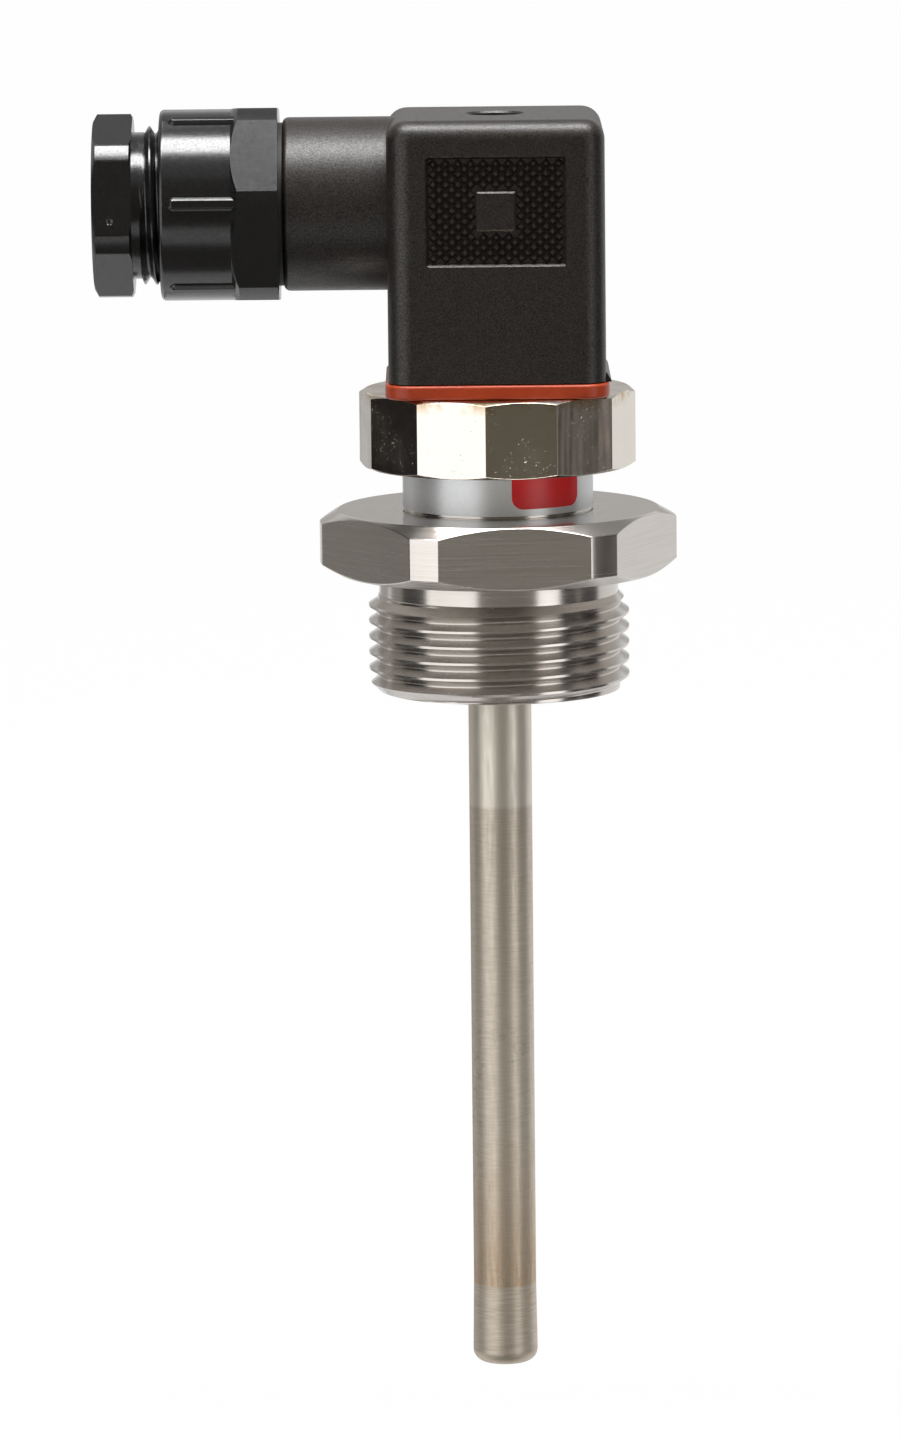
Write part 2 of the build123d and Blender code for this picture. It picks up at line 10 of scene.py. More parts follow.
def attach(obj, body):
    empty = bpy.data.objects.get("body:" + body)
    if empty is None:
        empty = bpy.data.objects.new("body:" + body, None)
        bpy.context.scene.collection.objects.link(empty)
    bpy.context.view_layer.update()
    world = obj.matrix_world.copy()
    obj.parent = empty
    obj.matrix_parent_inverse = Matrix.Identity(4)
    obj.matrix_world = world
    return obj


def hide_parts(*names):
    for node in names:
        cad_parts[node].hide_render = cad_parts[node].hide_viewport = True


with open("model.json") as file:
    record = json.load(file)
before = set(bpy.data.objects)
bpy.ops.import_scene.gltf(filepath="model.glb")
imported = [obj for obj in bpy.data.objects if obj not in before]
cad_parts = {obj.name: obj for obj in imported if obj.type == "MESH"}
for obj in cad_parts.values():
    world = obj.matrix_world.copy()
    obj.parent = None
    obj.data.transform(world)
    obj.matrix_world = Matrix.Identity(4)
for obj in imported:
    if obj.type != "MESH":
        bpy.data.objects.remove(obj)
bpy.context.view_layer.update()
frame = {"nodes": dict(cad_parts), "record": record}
mm = 0.001
upright = Matrix.Identity(4)


# Colours and nodes

noiseSpan = (0.3, 0.7)  # most of a noise's values lie between these


def linear(hexText):
    # sRGB hex to the linear colour that the shaders work in
    parts = [int(hexText[i:i + 2], 16) / 255 for i in (1, 3, 5)]
    return tuple(p / 12.92 if p <= 0.04045 else ((p + 0.055) / 1.055) ** 2.4 for p in parts) + (1.0,)


def addNode(tree, kind, inputs=None, **settings):
    node = tree.nodes.new("ShaderNode" + kind)
    for name, value in settings.items():
        setattr(node, name, value)
    for socket, value in (inputs or {}).items():
        if isinstance(value, bpy.types.NodeSocket):
            tree.links.new(value, node.inputs[socket])
        else:
            node.inputs[socket].default_value = value
    return node


def newMaterial(name, **values):
    material = bpy.data.materials.new(name)
    material.use_nodes = True
    tree = material.node_tree
    shader = tree.nodes["Principled BSDF"]
    for socket, value in values.items():
        shader.inputs[socket.replace("_", " ")].default_value = value
    place = addNode(tree, "TexCoord").outputs["Object"]
    return material, tree, shader, place


def blendColours(tree, factor, first, second):
    mix = addNode(tree, "Mix", {"Factor": factor, "A": first, "B": second}, data_type="RGBA")
    return mix.outputs["Result"]


def ramp(tree, value, low, high, toLow=0.0, toHigh=1.0):
    # a value from low..high laid onto toLow..toHigh, held at the ends
    return addNode(tree, "MapRange", {
        "Value": value, "From Min": low, "From Max": high, "To Min": toLow, "To Max": toHigh,
    }).outputs["Result"]


def calculate(tree, operation, *values):
    return addNode(tree, "Math", dict(enumerate(values)), operation=operation).outputs[0]


def noise(tree, vector, sizeMm, detail=2.0, roughness=0.5):
    return addNode(tree, "TexNoise", {
        "Vector": vector, "Scale": 1 / (sizeMm * mm), "Detail": detail, "Roughness": roughness,
    }).outputs["Fac"]


def stretched(tree, place, alongZ):
    # a noise on this runs long up and down where alongZ is below 1, and lies flat where it is above
    return addNode(tree, "Mapping", {"Vector": place, "Scale": (1.0, 1.0, alongZ)}).outputs[0]


def heightOf(tree, place):
    return addNode(tree, "SeparateXYZ", {0: place}).outputs[2]


def facingUp(tree):
    return addNode(tree, "SeparateXYZ", {0: addNode(tree, "NewGeometry").outputs["True Normal"]}).outputs[2]


def ringPlace(tree, place, lineMm, streaks):
    # where a tool line lies: rings round Z, a line apart in Z on a wall and in radius on a flat
    split = addNode(tree, "SeparateXYZ", {0: place})
    level = addNode(tree, "CombineXYZ", {0: split.outputs[0], 1: split.outputs[1]}).outputs[0]
    radius = addNode(tree, "VectorMath", {0: level}, operation="LENGTH").outputs["Value"]
    direction = addNode(tree, "VectorMath", {0: level}, operation="NORMALIZE").outputs[0]
    around = addNode(tree, "VectorMath", {0: direction, "Scale": streaks}, operation="SCALE").outputs[0]
    flatness = calculate(tree, "ABSOLUTE", facingUp(tree))
    along = calculate(tree, "MULTIPLY_ADD", radius, flatness, split.outputs[2])
    step = calculate(tree, "DIVIDE", along, lineMm * mm)
    lift = addNode(tree, "CombineXYZ", {2: step}).outputs[0]
    return addNode(tree, "VectorMath", {0: around, 1: lift}, operation="ADD").outputs[0]


def toolLines(tree, place, lineMm, streaks):
    return addNode(tree, "TexNoise", {
        "Vector": ringPlace(tree, place, lineMm, streaks), "Scale": 1.0, "Detail": 3.0,
    }).outputs["Fac"]


def bump(tree, shader, height, strength, distanceMm, under=None):
    inputs = {"Strength": strength, "Distance": distanceMm * mm, "Height": height}
    if under is not None:
        inputs["Normal"] = under
    normal = addNode(tree, "Bump", inputs).outputs[0]
    tree.links.new(normal, shader.inputs["Normal"])
    return normal


# Materials: a name with Span holds the two values between which a mark fades in

def turnedStainless(name, look):
    # Stainless 1.4404, turned and left bright: fine rings that smear a reflection up and down
    material, tree, shader, place = newMaterial(
        name, Metallic=1.0, Anisotropic=look["smear"], Anisotropic_Rotation=0.25)
    lines = toolLines(tree, place, look["lineMm"], look["streaks"])
    cloud = noise(tree, place, look["cloudMm"])
    tone = blendColours(tree, ramp(tree, lines, *noiseSpan), linear(look["dark"]), linear(look["bright"]))
    stained = ramp(tree, cloud, *look["cloudSpan"], 0.0, look["cloud"])
    tone = blendColours(tree, stained, tone, linear(look["stain"]))
    tree.links.new(tone, shader.inputs["Base Color"])
    rough = ramp(tree, lines, *look["roughSpan"], look["roughness"] - look["roughSpread"],
                 look["roughness"] + look["roughSpread"])
    faced = ramp(tree, facingUp(tree), *look["faceSpan"], 1.0, look["faced"])
    tree.links.new(calculate(tree, "MULTIPLY", rough, faced), shader.inputs["Roughness"])
    bump(tree, shader, lines, look["bump"], look["depthMm"])
    return material


fittingSteel = {"roughness": 0.26, "roughSpread": 0.02, "roughSpan": (0.25, 0.75), "faced": 0.35,
                "faceSpan": (0.9, 0.99), "smear": 0.8, "lineMm": 0.16, "streaks": 1.6, "cloudMm": 9.0,
                "cloud": 0.25, "cloudSpan": (0.35, 0.75), "dark": "#bdb8b2", "bright": "#c8c3be",
                "stain": "#b3aba0", "bump": 0.1, "depthMm": 0.02}
tipSteel = dict(fittingSteel, bright="#cfc4b6", dark="#b3a797", roughness=0.5, smear=0.5)


def tubeStainless():
    # Drawn and ground stainless tube: long soft sheen, faint rings, scratches and rub marks, and straw
    # heat tint by the weld
    look = {"roughness": 0.5, "smoothest": -0.07, "roughest": 0.08, "lineMm": 0.2, "streaks": 2.0,
            "lineBump": 0.04, "lineDepthMm": 0.02, "finishZ": -30.0, "finishFade": 0.3,
            "tintTop": -72.0, "tintLow": -92.0, "tintLeast": 0.4, "scratchMm": 0.4, "scratchAlong": 0.12,
            "scratchBump": 0.1, "scratchDepthMm": 0.01, "rubMm": 2.6, "rubAlong": 1.5, "rubHair": 0.02,
            "rub": 0.4, "rubTop": -53.0, "rubLow": -64.0, "rubPatchMm": 7.0, "rubPatchSpan": (0.48, 0.56),
            "dark": "#beb4a4", "bright": "#ccc2b5", "rubbed": "#6f6253", "tinted": "#b49c80",
            "groundTone": "#d6cfc3"}
    material, tree, shader, place = newMaterial(
        "drawnStainlessTube", Metallic=1.0, Anisotropic=0.6, Anisotropic_Rotation=0.25)
    lines = toolLines(tree, place, look["lineMm"], look["streaks"])
    height = heightOf(tree, place)
    ground = ramp(tree, height, (look["finishZ"] - look["finishFade"]) * mm,
                  (look["finishZ"] + look["finishFade"]) * mm)
    tint = ramp(tree, height, look["tintTop"] * mm, look["tintLow"] * mm)
    scratches = noise(tree, stretched(tree, place, look["scratchAlong"]), look["scratchMm"], 3.0, 0.6)
    drawn = blendColours(tree, ramp(tree, lines, *noiseSpan), linear(look["dark"]), linear(look["bright"]))
    # a rub mark is a thin hair where the noise crosses its middle
    wander = noise(tree, stretched(tree, place, look["rubAlong"]), look["rubMm"], 4.0)
    hair = calculate(tree, "ABSOLUTE", calculate(tree, "SUBTRACT", wander, 0.5))
    rubs = calculate(tree, "MULTIPLY", ramp(tree, hair, 0.0, look["rubHair"], look["rub"], 0.0),
                     ramp(tree, height, look["rubTop"] * mm, look["rubLow"] * mm))
    rubPatch = ramp(tree, noise(tree, place, look["rubPatchMm"]), *look["rubPatchSpan"])
    drawn = blendColours(tree, calculate(tree, "MULTIPLY", rubs, rubPatch), drawn, linear(look["rubbed"]))
    tintShare = calculate(tree, "MULTIPLY", tint, ramp(tree, scratches, *noiseSpan, look["tintLeast"], 1.0))
    tinted = blendColours(tree, tintShare, drawn, linear(look["tinted"]))
    tone = blendColours(tree, ground, tinted, linear(look["groundTone"]))
    tree.links.new(tone, shader.inputs["Base Color"])
    rough = ramp(tree, scratches, *noiseSpan, look["roughness"] + look["smoothest"],
                 look["roughness"] + look["roughest"])
    tree.links.new(rough, shader.inputs["Roughness"])
    under = bump(tree, shader, lines, look["lineBump"], look["lineDepthMm"])
    bump(tree, shader, scratches, look["scratchBump"], look["scratchDepthMm"], under)
    return material


def nickelPlate():
    # Bright nickel on machined brass: a mirror with slow waves, fine pits and a brown stain at its top edge
    look = {"waveMm": 3.2, "waveAlong": 0.06, "waveBump": 0.8, "waveDepthMm": 0.05,
            "pitMm": 0.3, "pitSpan": (0.675, 0.745), "pitPatchSpan": (0.48, 0.62), "pitLeast": 0.1,
            "pitRoughness": 0.15, "pitBump": 1.0, "pitDepthMm": 0.025, "patchMm": 5.0,
            "roughness": 0.12, "smoothest": -0.04, "roughest": 0.08,
            "stainLow": 21.4, "stainTop": 22.9, "stainSpan": (0.42, 0.56),
            "bright": "#d2cbc2", "stained": "#b39d7e"}
    material, tree, shader, place = newMaterial("nickelPlate", Metallic=1.0)
    wave = noise(tree, stretched(tree, place, look["waveAlong"]), look["waveMm"], 2.0, 0.6)
    speck = noise(tree, place, look["pitMm"], 2.0, 0.7)
    patch = noise(tree, place, look["patchMm"], 4.0, 0.65)
    pits = calculate(tree, "MULTIPLY", ramp(tree, speck, *look["pitSpan"]),
                     ramp(tree, patch, *look["pitPatchSpan"], look["pitLeast"], 1.0))
    level = heightOf(tree, place)
    edge = calculate(tree, "MULTIPLY", ramp(tree, level, look["stainLow"] * mm, look["stainTop"] * mm),
                     ramp(tree, patch, *look["stainSpan"]))
    tone = blendColours(tree, edge, linear(look["bright"]), linear(look["stained"]))
    tree.links.new(tone, shader.inputs["Base Color"])
    rough = ramp(tree, patch, *noiseSpan, look["roughness"] + look["smoothest"],
                 look["roughness"] + look["roughest"])
    pitted = calculate(tree, "MULTIPLY_ADD", pits, look["pitRoughness"], rough)
    tree.links.new(pitted, shader.inputs["Roughness"])
    under = bump(tree, shader, wave, look["waveBump"], look["waveDepthMm"])
    bump(tree, shader, calculate(tree, "MULTIPLY", pits, -1.0), look["pitBump"], look["pitDepthMm"], under)
    return material


nylonPattern = {"coarseTimes": 3.5, "cloudMm": 14.0, "grainSpan": (0.3, 0.72), "cloudSpan": (0.35, 0.7),
                "worn": 0.5, "roughTimes": (0.92, 1.08), "sparkleSpan": (0.35, 0.65), "shine": 0.5}


def mouldedNylon(name, look):
    # Glass-filled nylon from a spark-eroded mould: a fine grain that breaks up the sheen
    pattern = nylonPattern
    material, tree, shader, place = newMaterial(name, IOR=look["ior"], Roughness=look["roughness"])
    grain = noise(tree, place, look["grainMm"], 2.0, 0.6)
    coarse = noise(tree, place, look["grainMm"] * pattern["coarseTimes"], 3.0, 0.55)
    cloud = noise(tree, place, pattern["cloudMm"], 2.0)
    grained = ramp(tree, grain, *pattern["grainSpan"])
    tone = blendColours(tree, grained, linear(look["dark"]), linear(look["pale"]))
    worn = ramp(tree, cloud, *pattern["cloudSpan"], 0.0, pattern["worn"])
    tone = blendColours(tree, worn, tone, linear(look["worn"]))
    tree.links.new(tone, shader.inputs["Base Color"])
    rough = ramp(tree, coarse, *noiseSpan, *(look["roughness"] * times for times in pattern["roughTimes"]))
    tree.links.new(rough, shader.inputs["Roughness"])
    sparkle = ramp(tree, grain, *pattern["sparkleSpan"], pattern["shine"] - look["sparkle"],
                   pattern["shine"] + look["sparkle"])
    tree.links.new(sparkle, shader.inputs["Specular IOR Level"])
    bump(tree, shader, grain, look["bump"], look["grainDepthMm"])
    return material


housingNylon = {"roughness": 0.42, "ior": 1.47, "grainMm": 0.22, "grainDepthMm": 0.02, "bump": 0.8,
                "sparkle": 0.16, "dark": "#0e0a07", "pale": "#1f1813", "worn": "#18120e"}
glandNylon = {"roughness": 0.2, "ior": 1.55, "grainMm": 0.2, "grainDepthMm": 0.003, "bump": 0.5,
              "sparkle": 0.12, "dark": "#0e0e0e", "pale": "#171717", "worn": "#131313"}
baseNylon = {"roughness": 0.4, "ior": 1.5, "grainMm": 0.3, "grainDepthMm": 0.02, "bump": 0.5,
             "sparkle": 0.2, "dark": "#191919", "pale": "#262626", "worn": "#202020"}


def siliconeRubber():
    # Orange silicone, moulded: soft sheen, a little light goes in at the lip
    look = {"bleed": (1.0, 0.35, 0.15), "cloudMm": 3.0, "cloudSpan": (0.35, 0.7), "grainMm": 0.4,
            "bump": 0.1, "depthMm": 0.02, "dark": "#93300f", "pale": "#a03a17"}
    material, tree, shader, place = newMaterial(
        "orangeSilicone", IOR=1.43, Roughness=0.4, Subsurface_Weight=0.1, Subsurface_Scale=0.001)
    shader.inputs["Subsurface Radius"].default_value = look["bleed"]
    cloud = noise(tree, place, look["cloudMm"], 3.0)
    clouded = ramp(tree, cloud, *look["cloudSpan"])
    tone = blendColours(tree, clouded, linear(look["dark"]), linear(look["pale"]))
    tree.links.new(tone, shader.inputs["Base Color"])
    bump(tree, shader, noise(tree, place, look["grainMm"], 2.0), look["bump"], look["depthMm"])
    return material


def foilLabel():
    # Satin polyester foil with a printed red field: even, slightly metallic where it is silver
    look = {"red": (7.9, 55.6), "redBottom": 9.15, "corner": 1.5, "radius": 12.05, "printEdge": 0.03,
            "mottleMm": 0.5, "silverMetal": 0.45, "redMetal": 0.0, "bump": 0.05, "depthMm": 0.01,
            "silvers": ("#cbced0", "#d9dbdc"), "reds": ("#cf151b", "#d81f24")}
    material, tree, shader, place = newMaterial("foilLabel", Roughness=0.34, Metallic=0.35)
    split = addNode(tree, "SeparateXYZ", {0: place})
    front = calculate(tree, "MULTIPLY", split.outputs[1], -1.0)
    angle = calculate(tree, "ARCTAN2", split.outputs[0], front)
    middle = math.radians(sum(look["red"]) / 2)
    half = math.radians((look["red"][1] - look["red"][0]) / 2) * look["radius"] * mm
    corner, fade = look["corner"] * mm, look["printEdge"] * mm
    # how far a point lies past the field's side and below its foot, both taken to the corner's centre
    across = calculate(tree, "MULTIPLY", calculate(tree, "SUBTRACT", angle, middle), look["radius"] * mm)
    across = calculate(tree, "ABSOLUTE", across)
    across = calculate(tree, "MAXIMUM", calculate(tree, "SUBTRACT", across, half - corner), 0.0)
    below = calculate(tree, "SUBTRACT", look["redBottom"] * mm + corner, split.outputs[2])
    below = calculate(tree, "MAXIMUM", below, 0.0)
    squares = [calculate(tree, "POWER", side, 2.0) for side in (across, below)]
    away = calculate(tree, "SQRT", calculate(tree, "ADD", *squares))
    inside = ramp(tree, away, corner + fade, corner - fade)
    fine = noise(tree, place, look["mottleMm"], 2.0)
    silver = blendColours(tree, fine, *map(linear, look["silvers"]))
    red = blendColours(tree, fine, *map(linear, look["reds"]))
    tree.links.new(blendColours(tree, inside, silver, red), shader.inputs["Base Color"])
    metal = ramp(tree, inside, 0.0, 1.0, look["silverMetal"], look["redMetal"])
    tree.links.new(metal, shader.inputs["Metallic"])
    bump(tree, shader, fine, look["bump"], look["depthMm"])
    return material


plainDepthMm = 0.02


def plainMaterial(name, *, sizeMm, dark, pale, relief, **values):
    # small and inner pieces: one mottled colour with a little relief
    material, tree, shader, place = newMaterial(name, **values)
    cloud = noise(tree, place, sizeMm, 3.0)
    tone = blendColours(tree, ramp(tree, cloud, *noiseSpan), linear(dark), linear(pale))
    tree.links.new(tone, shader.inputs["Base Color"])
    bump(tree, shader, cloud, relief, plainDepthMm)
    return material


finishes = {
    "stainless_steel": turnedStainless("turnedStainless", fittingSteel),
    "stainless_tube": tubeStainless(),
    "stainless_tip": turnedStainless("turnedStainlessTip", tipSteel),
    "nickel_plate": nickelPlate(),
    "label_foil": foilLabel(),
    "silicone": siliconeRubber(),
    "housing_plastic": mouldedNylon("glassFilledNylon", housingNylon),
    "gland_plastic": mouldedNylon("glandNylon", glandNylon),
    "base_plastic": mouldedNylon("pinBaseNylon", baseNylon),
    # Nitrile rubber, moulded: dull and soft-edged
    "black_rubber": plainMaterial(
        "nitrileRubber", sizeMm=0.6, dark="#070707", pale="#0f0f0f", relief=0.2,
        Roughness=0.6, IOR=1.52),
    # Fired alumina: chalky white
    "ceramic": plainMaterial(
        "aluminaCeramic", sizeMm=0.5, dark="#e3dfd4", pale="#efece4", relief=0.1,
        Roughness=0.55, IOR=1.76),
    # Fluoropolymer wire sleeve: waxy white
    "wire_sleeve": plainMaterial(
        "fluoropolymerSleeve", sizeMm=1.0, dark="#dcd8ce", pale="#e8e5dd", relief=0.05,
        Roughness=0.35, IOR=1.38),
    # Turned brass: bright yellow metal
    "brass": plainMaterial(
        "turnedBrass", sizeMm=0.4, dark="#c9a860", pale="#dcbf7c", relief=0.1,
        Metallic=1.0, Roughness=0.25),
    # Tin on brass: soft grey-white metal
    "tinned_brass": plainMaterial(
        "tinnedBrass", sizeMm=0.5, dark="#c6c4bd", pale="#d8d6d0", relief=0.1,
        Metallic=1.0, Roughness=0.33),
    # Zinc plate, blue passivated: slightly cold metal
    "zinc_plate": plainMaterial(
        "zincPlate", sizeMm=0.5, dark="#a9adb0", pale="#bcbfc1", relief=0.1,
        Metallic=1.0, Roughness=0.45),
}
slotOf = {part["node"]: part["material_slot"] for part in frame["record"]["subparts"]}
for nodeName, node in frame["nodes"].items():
    node.data.materials.clear()
    node.data.materials.append(finishes[slotOf[nodeName]])
print("materials done")


# Shapes

closeMm = {"turned": 0.001, "cut": 0.0001, "thread": 0.002, "finished": 0.0005}  # nearer points are one
past = 1.0  # how far a cutting body runs on past the end that it opens
overlap = 0.5  # how far a body runs on beyond the face where it joins or cuts
chamferSlope = math.tan(math.radians(30))
bevelDegrees, shadeDegrees = 25, 32  # edges sharper than these are softened, or shaded sharp
rodSteps = 96


def lathe(outline, steps):
    # turns a closed outline of (radius, height), in millimetres, round Z
    bm = bmesh.new()
    ring = [bm.verts.new((radius * mm, 0, height * mm)) for radius, height in outline]
    edges = [bm.edges.new(pair) for pair in zip(ring, ring[1:] + ring[:1])]
    bmesh.ops.spin(bm, geom=ring + edges, cent=(0, 0, 0), axis=(0, 0, 1), angle=2 * math.pi,
                   steps=steps, use_merge=True)
    bmesh.ops.remove_doubles(bm, verts=bm.verts[:], dist=closeMm["turned"] * mm)
    bmesh.ops.recalc_face_normals(bm, faces=bm.faces[:])
    return bm


def roundEdge(radius, end, edge, steps):
    # the rounded outer edge of a turned end, as points of an outline
    bends = [math.radians(90 / steps * step) for step in range(steps + 1)]
    return [(radius - edge + edge * math.cos(bend), end - edge + edge * math.sin(bend)) for bend in bends]


def cutAway(bm, point, outwards):
    # takes off what lies past a plane and closes the cut
    cut = bmesh.ops.bisect_plane(
        bm, geom=bm.verts[:] + bm.edges[:] + bm.faces[:], dist=closeMm["cut"] * mm,
        plane_co=point, plane_no=outwards, clear_outer=True)
    rim = [item for item in cut["geom_cut"] if isinstance(item, bmesh.types.BMEdge) and item.is_boundary]
    bmesh.ops.edgeloop_fill(bm, edges=rim)


def cutFlats(bm, acrossFlats, count, turn):
    # planes off the sides, with a corner at the angle turn
    for side in range(count):
        angle = math.radians(turn + (side + 0.5) * 360 / count)
        outwards = Vector((math.cos(angle), math.sin(angle), 0))
        cutAway(bm, outwards * acrossFlats / 2 * mm, outwards)
    bmesh.ops.recalc_face_normals(bm, faces=bm.faces[:])


def roundedRing(halfX, halfY, corner, height, steps=10):
    # a rectangle with round corners, as points at one height
    points = []
    for quarter, (sideX, sideY) in enumerate(((1, 1), (-1, 1), (-1, -1), (1, -1))):
        for step in range(steps + 1):
            bend = math.pi / 2 * (quarter + step / steps)
            points.append(((sideX * (halfX - corner) + corner * math.cos(bend)) * mm,
                           (sideY * (halfY - corner) + corner * math.sin(bend)) * mm, height * mm))
    return points


def loft(rings):
    # skins rings of equal count, one after another, and closes both ends
    bm = bmesh.new()
    loops = [[bm.verts.new(point) for point in ring] for ring in rings]
    for low, high in zip(loops, loops[1:]):
        for number in range(len(low)):
            after = (number + 1) % len(low)
            bm.faces.new((low[number], low[after], high[after], high[number]))
    bm.faces.new(loops[0])
    bm.faces.new(loops[-1])
    bmesh.ops.recalc_face_normals(bm, faces=bm.faces[:])
    return bm


def rod(radius, low, high):
    return lathe([(0, low), (radius, low), (radius, high), (0, high)], rodSteps)


def threadedRod(thread, low, high, steps):
    # a right-hand thread: the whole profile makes one turn and climbs one pitch, then meets itself
    bm = bmesh.new()
    radius, pitch, depth = thread["radius"], thread["pitch"], thread["depth"]
    crest, root = thread["crest"], thread["root"]
    flank = (pitch - crest - root) / 2
    rootShare, rootEase, spareTurns = 0.96, 0.02, 2  # the root rounds off from this share of the depth
    period = [(0, crest * -0.5), (0, crest * 0.5), (depth * rootShare, crest / 2 + flank - rootEase),
              (depth, crest / 2 + flank + root / 2),
              (depth * rootShare, crest / 2 + flank + root + rootEase)]
    outline = []
    begin = thread["crestAt"] + pitch * (math.floor((low - thread["crestAt"]) / pitch) - spareTurns)
    for turnNumber in range(int((high - begin) / pitch) + spareTurns):
        for fall, along in period:
            height = begin + turnNumber * pitch + along
            outline.append(bm.verts.new(((radius - fall) * mm, 0, height * mm)))
    edges = [bm.edges.new(pair) for pair in zip(outline, outline[1:])]
    bmesh.ops.spin(bm, geom=outline + edges, cent=(0, 0, 0), axis=(0, 0, 1), angle=2 * math.pi,
                   dvec=(0, 0, pitch * mm / steps), steps=steps, use_merge=False)
    bmesh.ops.remove_doubles(bm, verts=bm.verts[:], dist=closeMm["thread"] * mm)
    for level, outwards in ((low, -1), (high, 1)):
        cutAway(bm, (0, 0, level * mm), (0, 0, outwards))
    return bm


def keepInside(bm, limit):
    # pulls points in to the radius that limit(height) allows, in millimetres
    for vert in bm.verts:
        radius = math.hypot(vert.co.x, vert.co.y)
        most = limit(vert.co.z / mm) * mm
        if radius > most:
            vert.co.x *= most / radius
            vert.co.y *= most / radius
    bmesh.ops.recalc_face_normals(bm, faces=bm.faces[:])


def sharpEdges(bm, degrees):
    return [edge for edge in bm.edges if len(edge.link_faces) == 2
            and edge.calc_face_angle(0) > math.radians(degrees)]


def bevelEdges(bm, edges, widthMm, segments):
    bmesh.ops.bevel(bm, geom=edges, offset=widthMm * mm, offset_type="OFFSET", affect="EDGES",
                    segments=segments, profile=0.5, material=-1, clamp_overlap=True)


def softenEdges(bm, widthMm, degrees=bevelDegrees, segments=2):
    bevelEdges(bm, sharpEdges(bm, degrees), widthMm, segments)


def toObject(bm, name, place=upright):
    bmesh.ops.transform(bm, matrix=place, verts=bm.verts[:])
    mesh = bpy.data.meshes.new(name)
    bm.to_mesh(mesh)
    bm.free()
    obj = bpy.data.objects.new(name, mesh)
    bpy.context.scene.collection.objects.link(obj)
    return obj


def combine(obj, other, operation):
    # boolean with the other object, which is used up
    modifier = obj.modifiers.new("combine", "BOOLEAN")
    modifier.object = other
    modifier.operation = operation
    modifier.solver = "EXACT"
    bpy.context.view_layer.update()
    shaped = bpy.data.meshes.new_from_object(obj.evaluated_get(bpy.context.evaluated_depsgraph_get()))
    obj.modifiers.clear()
    obj.data = shaped
    bpy.data.objects.remove(other)


def finishPiece(obj, body, slotName, replaced):
    # smooth faces with sharp edges kept, its finish, its body and what it stands for
    bm = bmesh.new()
    bm.from_mesh(obj.data)
    bmesh.ops.remove_doubles(bm, verts=bm.verts[:], dist=closeMm["finished"] * mm)
    bmesh.ops.dissolve_degenerate(bm, edges=bm.edges[:], dist=closeMm["finished"] * mm)
    for face in bm.faces:
        face.smooth = True
    for edge in sharpEdges(bm, shadeDegrees):
        edge.smooth = False
    bm.to_mesh(obj.data)
    bm.free()
    obj.data.materials.clear()
    obj.data.materials.append(finishes[slotName])
    obj.modifiers.new("evenShade", "WEIGHTED_NORMAL").keep_sharp = True
    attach(obj, body)
    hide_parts(*replaced)


# Process fitting: hexagon, undercut and neck turned as one, with a real helical thread

fitting = {"acrossFlats": 41.0, "turned": 45.2, "height": 8.0, "chamfer": 1.35, "turn": 5.5, "edge": 0.12,
           "undercut": 30.3, "undercutLength": 2.9, "neck": 23.8, "neckTop": 18.5, "wiringBore": 10.514,
           "wiringFloor": 5.0, "tubeBore": 7.5, "threadEnd": -15.0, "rings": (13.3, 14.0, 14.6),
           "ringDepth": 0.03, "ringHalf": 0.15, "steps": 180}
fittingThread = {"radius": 16.5, "pitch": 2.0, "depth": 1.2, "crest": 0.3, "root": 0.25, "lead": 1.2,
                 "crestAt": -5.18, "coreGap": 0.4, "startGap": 0.02, "endReach": 0.2, "endGap": 0.05,
                 "steps": 160}


def processFitting():
    part, thread = fitting, fittingThread
    radius, low, high = part["turned"] / 2, 0.0, part["height"]
    chamfer, undercut = part["chamfer"], part["undercut"] / 2
    core = thread["radius"] - thread["depth"] - thread["coreGap"]
    grooves = [(ring + across, high - fall) for ring in reversed(part["rings"])
               for across, fall in ((part["ringHalf"], 0), (0, part["ringDepth"]), (-part["ringHalf"], 0))]
    bm = lathe([
        (0, part["threadEnd"]), (core, part["threadEnd"]), (core, -part["undercutLength"]),
        (undercut, -part["undercutLength"]), (undercut, low),
        (radius - chamfer / chamferSlope, low), (radius, low + chamfer),
        (radius, high - chamfer), (radius - chamfer / chamferSlope, high),
    ] + grooves + [
        (part["neck"] / 2, high), (part["neck"] / 2, part["neckTop"]),
        (part["wiringBore"], part["neckTop"]), (part["wiringBore"], part["wiringFloor"]),
        (0, part["wiringFloor"]),
    ], part["steps"])
    cutFlats(bm, part["acrossFlats"], 6, part["turn"])
    softenEdges(bm, part["edge"])
    obj = toObject(bm, "processFitting")
    start = part["threadEnd"] + thread["startGap"]
    end = -part["undercutLength"] + thread["endReach"]
    bm = threadedRod(thread, start, end, thread["steps"])
    keepInside(bm, lambda height: min(thread["radius"] - thread["lead"] + (height - start),
                                      undercut + thread["endGap"] + (end - height)))
    combine(obj, toObject(bm, "threadBlank"), "UNION")
    bm = rod(part["tubeBore"] / 2, part["threadEnd"] - past, part["wiringFloor"] + past)
    combine(obj, toObject(bm, "boreBlank"), "DIFFERENCE")
    finishPiece(obj, "probe", "stainless_steel", ["process_fitting"])


processFitting()
print("process fitting done")


# Union nut: twelve flats, a turned chamfer at both ends

nut = {"sides": 12, "corner": 35.0, "low": 13.5, "high": 23.2, "shelf": 18.5, "chamfer": 0.45, "turn": -5.2,
       "socket": 28.1, "hole": 23.9, "edge": 0.16, "steps": 192}


